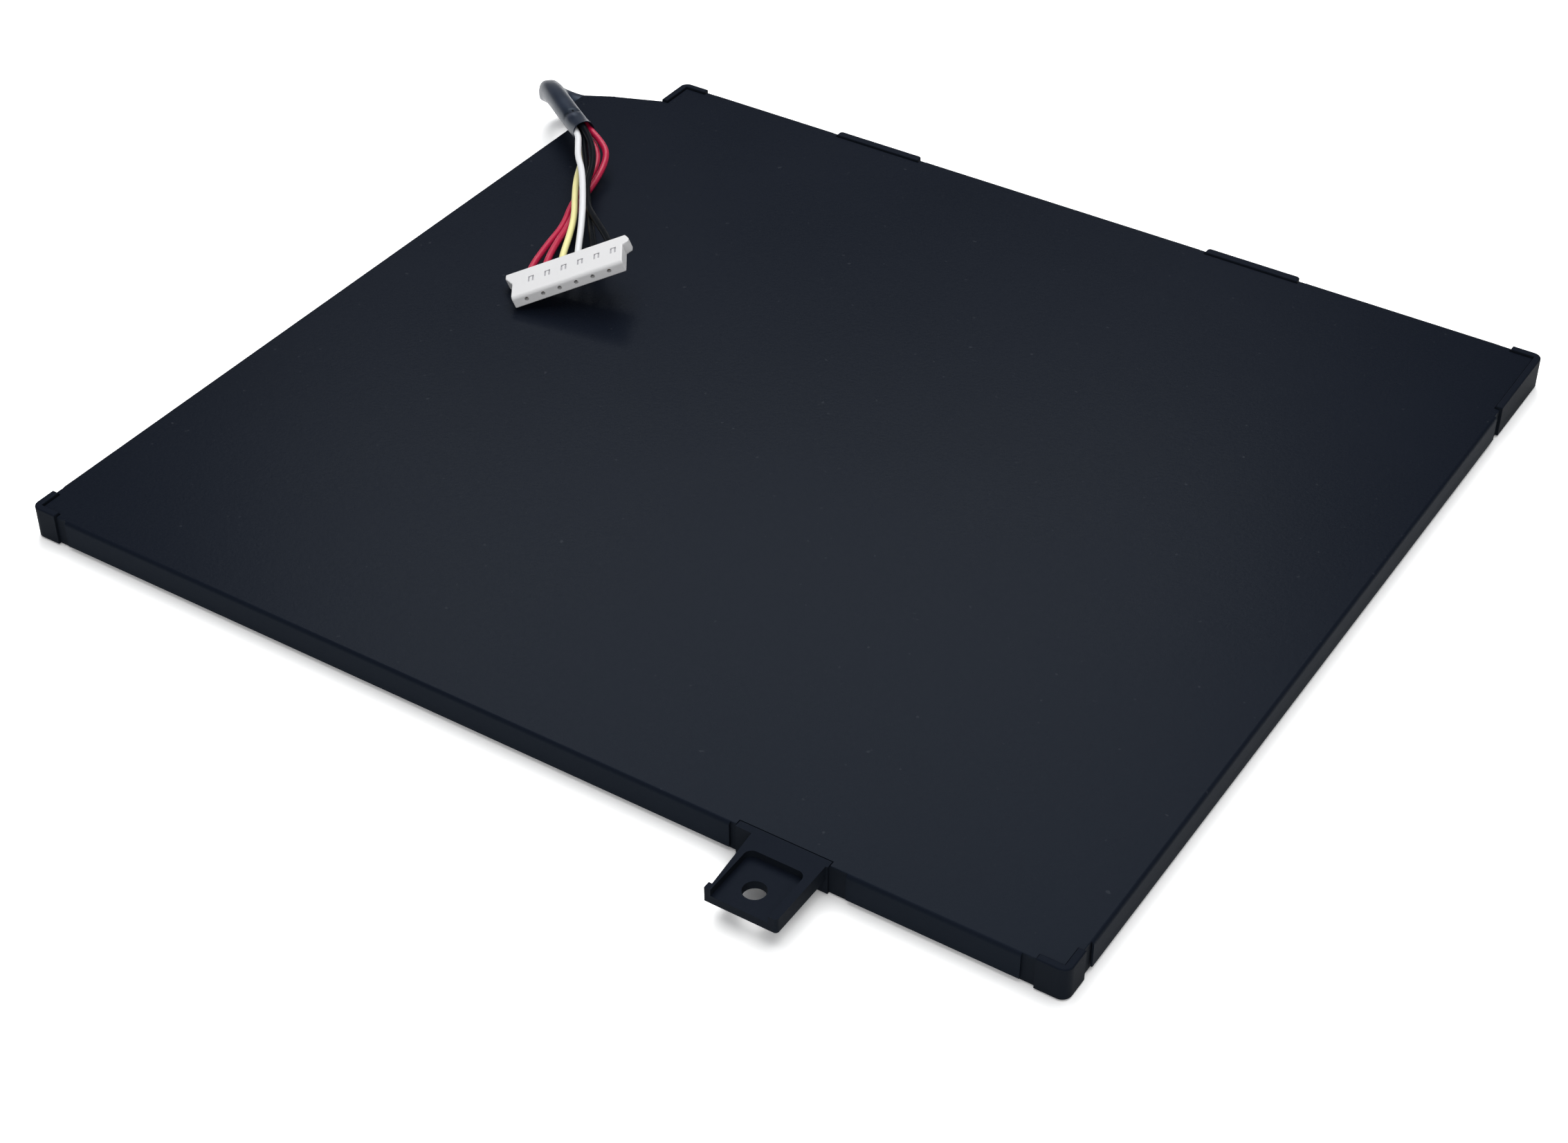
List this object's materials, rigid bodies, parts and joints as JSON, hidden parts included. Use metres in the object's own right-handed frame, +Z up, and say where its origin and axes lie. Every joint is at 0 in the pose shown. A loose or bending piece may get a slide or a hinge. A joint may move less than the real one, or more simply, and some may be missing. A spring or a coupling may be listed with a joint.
{
  "type": "tablet battery",
  "caption": "Flat rectangular battery pack for a tablet: moulded frame and dark film over pouch cells, a screw tab, and a short wire lead with a white plug-in connector.",
  "frame": {"origin": "middle of the flat underside, under the centre of the rectangular pack", "axes": "+X along the front edge, towards the end with the screw tab; +Y to the back edge with the lugs; +Z up through the thickness"},
  "size_m": [0.1276, 0.1178, 0.0099],
  "materials": {
    "frame_plastic": "moulded, fine satin",
    "wrap_film": "matt dark film",
    "pouch_foil": "laminated foil, satin",
    "adhesive_tape": "translucent double-sided tape",
    "board_laminate": "green solder mask",
    "amber_tape": "polyimide tape",
    "chip_body": "moulded resin",
    "ceramic_chip": "fired ceramic",
    "nickel": "plain nickel strip",
    "solder": "tin solder",
    "contact_brass": "tinned brass contact",
    "sleeve_tube": "thin satin tube",
    "white_nylon": "natural white nylon",
    "red_insulation": "satin insulation",
    "yellow_insulation": "satin insulation",
    "white_insulation": "satin insulation",
    "black_insulation": "satin insulation"
  },
  "bodies": {
    "root": {"board_insulation_tape": "amber_tape", "bottom_film": "wrap_film", "capacitor_1": "ceramic_chip", "capacitor_2": "ceramic_chip", "capacitor_3": "ceramic_chip", "capacitor_4": "ceramic_chip", "cell_left": "pouch_foil", "cell_left_negative_tab": "nickel", "cell_left_positive_tab": "nickel", "cell_left_tape": "adhesive_tape", "cell_right": "pouch_foil", "cell_right_negative_tab": "nickel", "cell_right_positive_tab": "nickel", "cell_right_tape": "adhesive_tape", "circuit_board": "board_laminate", "connector_housing": "white_nylon", "frame": "frame_plastic", "gauge_chip": "chip_body", "mosfet_1": "chip_body", "mosfet_2": "chip_body", "protection_chip": "chip_body", "sense_resistor": "chip_body", "solder_joint_1": "solder", "solder_joint_2": "solder", "solder_joint_3": "solder", "solder_joint_4": "solder", "solder_joint_5": "solder", "solder_joint_6": "solder", "terminal_1": "contact_brass", "terminal_2": "contact_brass", "terminal_3": "contact_brass", "terminal_4": "contact_brass", "terminal_5": "contact_brass", "terminal_6": "contact_brass", "thermal_fuse": "chip_body", "thermistor": "ceramic_chip", "top_film": "wrap_film", "weld_pad_1": "nickel", "weld_pad_2": "nickel", "weld_pad_3": "nickel", "weld_pad_4": "nickel", "wire_black_1": "black_insulation", "wire_black_2": "black_insulation", "wire_red_1": "red_insulation", "wire_red_2": "red_insulation", "wire_sleeve": "sleeve_tube", "wire_white": "white_insulation", "wire_yellow": "yellow_insulation"}
  },
  "joints": []
}
